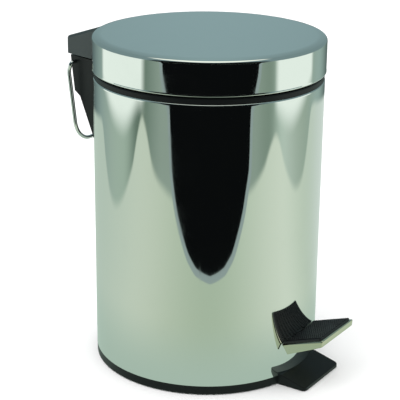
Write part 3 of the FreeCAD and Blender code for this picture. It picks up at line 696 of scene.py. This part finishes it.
# %% [markdown]
# The lid is a drawn cap: a flat crown, a tight corner, a straight side and a hem that is folded
# inwards at its lower edge. The hem stands a little proud and catches a thin line of light.

# %% Lid
HEM_PROUD = 0.00015
HEM_FOLD = 0.0005
HEM_IN = 0.0012
HEM_SHOULDER = 0.0009
LID_R = HEM_R - HEM_PROUD
SIDE_ROWS = (0.0013, 0.0016, 0.0024, 0.012, 0.0215)
SIDE_TOP = 0.2461
CORNER_R = 0.0024
CORNER_TURN = 66
CORNER_SHARE = 0.7
CROWN_R = 0.078
CROWN_RISE = 0.00035
CROWN_ROWS = (0.060, 0.040, 0.020, 0.008)


def lid_outside(low, high):
    """The side, the corner, the ease into the crown and the crown itself."""
    outside = [(LID_R, low + row) for row in SIDE_ROWS]
    rounded(outside, (LID_R - CORNER_R, SIDE_TOP), CORNER_R, 0, CORNER_TURN, 9)
    edge_r, edge_z = outside[-1]
    for step in range(1, 9):
        share = step / 8
        lift = (high - CROWN_RISE - edge_z) * math.sin(share * math.pi / 2)
        outside.append((edge_r * (1 - share) + CROWN_R * share, edge_z + lift))
    outside += [(row, high - CROWN_RISE * (row / CROWN_R) ** 2) for row in CROWN_ROWS]
    outside.append((0.0, high))
    return outside


def lid_hem(low):
    """The folded edge, from inside the lid round to its proud outer line."""
    hem = [(LID_R - SHEET, low + SIDE_ROWS[1]), (LID_R - HEM_IN, low + SIDE_ROWS[0])]
    rounded(hem, (LID_R - HEM_IN + HEM_FOLD, low + HEM_FOLD), HEM_FOLD, 180, 270, 5)
    rounded(hem, (HEM_R - HEM_FOLD, low + HEM_FOLD), HEM_FOLD, 270, 360, 5)
    hem.append((HEM_R, low + HEM_SHOULDER))
    return hem


def lid():
    """Below most of the corner the inner face is set in by the sheet, and above it only down."""
    low, high = lid_low.z, lid_high.z
    outside = lid_outside(low, high)
    corner_z = SIDE_TOP + CORNER_R * CORNER_SHARE
    inside = [(max(radius - SHEET, 0.0) if height < corner_z else radius, height - SHEET)
              for radius, height in reversed(outside[1:])]
    piece = link_mesh("steel_lid", turned_mesh("steel_lid", lid_hem(low) + outside + inside, True))
    finish_piece(piece, "lid_cap", "lid", "polished_steel")


lid()

# %% [markdown]
# ## Tread
# The tread is pressed from sheet: its back is hollowed to the skin's curve, its nose and sides
# are turned down, and every fold is rounded. It is made as one bent face, its folds are
# bevelled, and the sheet's thickness is added inwards.

# %% Pressed tread
TREAD_T = 0.0012
TREAD_SLOPE = 0.33779
NOSE_LEAN = 0.0006
NOSE_DEPTH = 0.0052
FOLD_R = 0.0013
TREAD_REAR_R = 0.0856
SKIRT_REAR_Y, SKIRT_REAR_Z = -0.0872, 0.0250
TUCK_Y, TUCK_Z = 0.003, 0.0045
REAR_STEPS = 24
NOSE_Y = plate_low.y
NOSE_Z = plate_high.z
TREAD_HALF = plate_high.x


def rear_curve(half_width, radius):
    """Points along the hollow back, from left to right, in the plane of the tread."""
    curve = []
    for step in range(REAR_STEPS + 1):
        x = half_width * (2 * step / REAR_STEPS - 1)
        y = -math.sqrt(radius ** 2 - x * x)
        curve.append(Vector((x, y, NOSE_Z + (y - NOSE_Y) * -TREAD_SLOPE)))
    return curve


def tread():
    shape = bmesh.new()
    rear = [shape.verts.new(point) for point in rear_curve(TREAD_HALF, TREAD_REAR_R)]
    nose_left = shape.verts.new((-TREAD_HALF, NOSE_Y, NOSE_Z))
    nose_right = shape.verts.new((TREAD_HALF, NOSE_Y, NOSE_Z))
    shape.faces.new([nose_left, nose_right] + rear[::-1])
    foot_y, foot_z = NOSE_Y + NOSE_LEAN, NOSE_Z - NOSE_DEPTH
    foot_left = shape.verts.new((-TREAD_HALF, foot_y, foot_z))
    foot_right = shape.verts.new((TREAD_HALF, foot_y, foot_z))
    shape.faces.new([foot_left, foot_right, nose_right, nose_left])
    sides = ((nose_left, foot_left, rear[0], -1), (nose_right, foot_right, rear[-1], 1))
    for nose, foot, back, sign in sides:
        tail = shape.verts.new((sign * TREAD_HALF, SKIRT_REAR_Y, SKIRT_REAR_Z))
        tuck = shape.verts.new((sign * TREAD_HALF, SKIRT_REAR_Y + TUCK_Y, SKIRT_REAR_Z + TUCK_Z))
        shape.faces.new([nose, back, tuck, tail, foot][::-sign])
    folds = [edge for edge in shape.edges if len(edge.link_faces) == 2]
    bmesh.ops.bevel(shape, geom=folds, offset=FOLD_R, segments=4, profile=0.5, affect="EDGES")
    bmesh.ops.recalc_face_normals(shape, faces=shape.faces)
    top = max(shape.faces, key=lambda face: face.calc_area())
    if top.normal.z < 0:
        bmesh.ops.reverse_faces(shape, faces=shape.faces)
    mesh = bpy.data.meshes.new("tread")
    shape.to_mesh(mesh)
    shape.free()
    piece = link_mesh("tread", mesh)
    wall = piece.modifiers.new("sheet", "SOLIDIFY")
    wall.thickness = TREAD_T
    wall.offset = -1.0
    wall.use_even_offset = True
    finish_piece(baked(piece), "pedal_plate", "pedal", "pedal_steel")


tread()

# %% [markdown]
# ## Ribbed pad
# The rubber pad keeps the foot from slipping. It has a plain base with softened edges, and its
# face is covered with short ribs in a zigzag. The ribs repeat, so Geometry Nodes lay them on a
# grid: even and odd columns lean opposite ways, and ribs past the pad's hollow back are dropped.

# %% Pad base
PAD_T = 0.0019
RIB_PROUD = 0.0006
PAD_HALF = pad_high.x
PAD_FRONT_Y = pad_low.y
PAD_REAR_R = 0.0857
PAD_CORNER_R = 0.0015
PAD_EDGE_R = 0.0003
TILT = math.atan(TREAD_SLOPE)
PAD_PLACE = Matrix.Translation((0, NOSE_Y, NOSE_Z)) @ Matrix.Rotation(-TILT, 4, "X")
PAD_FRONT = (PAD_FRONT_Y - NOSE_Y) / math.cos(TILT)


def pad_outline():
    """The pad's outline on the tread: x across, y from the nose back along the slope."""
    to_flat = PAD_PLACE.inverted()
    rear = [to_flat @ point for point in reversed(rear_curve(PAD_HALF, PAD_REAR_R))]
    outline = [(point.x, point.y) for point in rear]
    for side, start in ((-1, 180), (1, 270)):
        centre = (side * (PAD_HALF - PAD_CORNER_R), PAD_FRONT + PAD_CORNER_R)
        rounded(outline, centre, PAD_CORNER_R, start, start + 90, 4)
    return outline


def pad_base():
    shape = bmesh.new()
    face = shape.faces.new([shape.verts.new((x, y, 0.0)) for x, y in pad_outline()])
    if face.normal.z > 0:
        face.normal_flip()
    grown = bmesh.ops.extrude_face_region(shape, geom=[face])
    lifted = [item for item in grown["geom"] if isinstance(item, bmesh.types.BMVert)]
    bmesh.ops.translate(shape, vec=(0, 0, PAD_T - RIB_PROUD), verts=lifted)
    top_edges = [edge for edge in shape.edges if all(vertex in lifted for vertex in edge.verts)]
    bmesh.ops.bevel(shape, geom=top_edges, offset=PAD_EDGE_R, segments=2, profile=0.5, affect="EDGES")
    bmesh.ops.recalc_face_normals(shape, faces=shape.faces)
    mesh = bpy.data.meshes.new("pad_base")
    shape.to_mesh(mesh)
    shape.free()
    print("pad base faces", len(mesh.polygons))
    return mesh


# %% [markdown]
# The rib tree makes one small bar, puts it on the points of a grid, turns it one way or the
# other by its column, and joins the ribs to the base that comes in. Half of each bar's height
# is sunk in the base, so that the ribs and the base hold together.


# %% Rib tree inputs
RIB_INPUTS = ("Pitch", "Half Width", "Front", "Length", "Floor", "Proud", "Rear Radius", "Lean")


def start_rib_tree():
    """An empty tree with the ribs' named sizes; gives it with its inputs' identifiers."""
    tree = bpy.data.node_groups.new("zigzag_ribs", "GeometryNodeTree")
    face = tree.interface
    face.new_socket(name="Geometry", in_out="INPUT", socket_type="NodeSocketGeometry")
    sockets = {}
    for name in RIB_INPUTS:
        sockets[name] = face.new_socket(name=name, in_out="INPUT", socket_type="NodeSocketFloat").identifier
    finish = face.new_socket(name="Finish", in_out="INPUT", socket_type="NodeSocketMaterial")
    sockets["Finish"] = finish.identifier
    face.new_socket(name="Geometry", in_out="OUTPUT", socket_type="NodeSocketGeometry")
    return tree, sockets


# %% Points for the ribs
def rib_count(tree, length, pitch):
    return maths(tree, "ADD", maths(tree, "ROUND", maths(tree, "DIVIDE", length, pitch)), 1.0)


def rib_points(tree, source, across, along):
    """A grid over the pad's face, without the points that lie past its hollow back."""
    width = maths(tree, "MULTIPLY", source["Half Width"], 2.0)
    grid = new_node(tree, "GeometryNodeMeshGrid")
    join(tree, width, grid.inputs["Size X"])
    join(tree, source["Length"], grid.inputs["Size Y"])
    join(tree, rib_count(tree, width, source["Pitch"]), grid.inputs["Vertices X"])
    join(tree, rib_count(tree, source["Length"], source["Pitch"]), grid.inputs["Vertices Y"])
    middle = new_node(tree, "ShaderNodeCombineXYZ")
    half_length = maths(tree, "MULTIPLY", source["Length"], 0.5)
    join(tree, maths(tree, "ADD", source["Front"], half_length), middle.inputs[1])
    join(tree, source["Floor"], middle.inputs[2])
    shift = new_node(tree, "GeometryNodeTransform")
    join(tree, grid.outputs["Mesh"], shift.inputs["Geometry"])
    join(tree, middle.outputs[0], shift.inputs["Translation"])
    level = maths(tree, "ADD", maths(tree, "MULTIPLY", along, math.cos(TILT)), NOSE_Y)
    squares = maths(tree, "ADD", maths(tree, "MULTIPLY", across, across),
                    maths(tree, "MULTIPLY", level, level))
    past_back = maths(tree, "LESS_THAN", maths(tree, "SQRT", squares), source["Rear Radius"])
    drop = new_node(tree, "GeometryNodeDeleteGeometry")
    join(tree, shift.outputs[0], drop.inputs["Geometry"])
    join(tree, past_back, drop.inputs["Selection"])
    return drop.outputs[0]


# %% One rib and its lean
BAR_LENGTH = 1.28
BAR_WIDTH = 0.34


def rib_bar(tree, source):
    """One rib: its length and width are shares of the pitch."""
    size = new_node(tree, "ShaderNodeCombineXYZ")
    join(tree, maths(tree, "MULTIPLY", source["Pitch"], BAR_LENGTH), size.inputs[0])
    join(tree, maths(tree, "MULTIPLY", source["Pitch"], BAR_WIDTH), size.inputs[1])
    join(tree, maths(tree, "MULTIPLY", source["Proud"], 2.0), size.inputs[2])
    bar = new_node(tree, "GeometryNodeMeshCube")
    join(tree, size.outputs[0], bar.inputs["Size"])
    return bar.outputs["Mesh"]


def rib_lean(tree, source, across):
    """Even columns lean one way and odd ones the other."""
    column = maths(tree, "ROUND", maths(tree, "DIVIDE", across, source["Pitch"]))
    odd = maths(tree, "MODULO", maths(tree, "ABSOLUTE", column), 2.0)
    sign = maths(tree, "SUBTRACT", maths(tree, "MULTIPLY", odd, 2.0), 1.0)
    lean = new_node(tree, "ShaderNodeCombineXYZ")
    join(tree, maths(tree, "MULTIPLY", sign, source["Lean"]), lean.inputs[2])
    return lean.outputs[0]


# %% Rib tree
def rib_tree():
    tree, sockets = start_rib_tree()
    source = new_node(tree, "NodeGroupInput").outputs
    place = new_node(tree, "GeometryNodeInputPosition")
    split = new_node(tree, "ShaderNodeSeparateXYZ")
    join(tree, place.outputs[0], split.inputs[0])
    across, along, _ = split.outputs
    put = new_node(tree, "GeometryNodeInstanceOnPoints")
    join(tree, rib_points(tree, source, across, along), put.inputs["Points"])
    join(tree, rib_bar(tree, source), put.inputs["Instance"])
    join(tree, rib_lean(tree, source, across), put.inputs["Rotation"])
    both = new_node(tree, "GeometryNodeJoinGeometry")
    join(tree, put.outputs[0], both.inputs[0])
    join(tree, source["Geometry"], both.inputs[0])
    real = new_node(tree, "GeometryNodeRealizeInstances")
    join(tree, both.outputs[0], real.inputs[0])
    dress = new_node(tree, "GeometryNodeSetMaterial")
    join(tree, real.outputs[0], dress.inputs["Geometry"])
    join(tree, source["Finish"], dress.inputs["Material"])
    target = new_node(tree, "NodeGroupOutput")
    join(tree, dress.outputs[0], target.inputs[0])
    return tree, sockets


# %% Ribbed pad
RIB_PITCH = 0.0017
RIB_ROWS = 19
RIB_LEAN = math.radians(38)
SIDE_MARGIN = 0.0012
FRONT_MARGIN = 0.0013
REAR_MARGIN = 0.0010
PAD_SHARP = 25.0


def ribbed_pad():
    piece = link_mesh("ribbed_pad", pad_base())
    ribs = piece.modifiers.new("ribs", "NODES")
    ribs.node_group, sockets = rib_tree()
    columns = math.floor((PAD_HALF - SIDE_MARGIN) / RIB_PITCH)
    values = {"Pitch": RIB_PITCH, "Half Width": RIB_PITCH * columns, "Front": PAD_FRONT + FRONT_MARGIN,
              "Length": RIB_PITCH * RIB_ROWS, "Floor": PAD_T - RIB_PROUD, "Proud": RIB_PROUD,
              "Rear Radius": PAD_REAR_R + REAR_MARGIN, "Lean": RIB_LEAN, "Finish": FINISH["black_rubber"]}
    for name, value in values.items():
        ribs[sockets[name]] = value
    baked(piece)
    piece.data.transform(PAD_PLACE)
    finish_piece(piece, "pedal_pad", "pedal", "black_rubber", PAD_SHARP)


ribbed_pad()

# %% Hand over
bpy.context.view_layer.update()
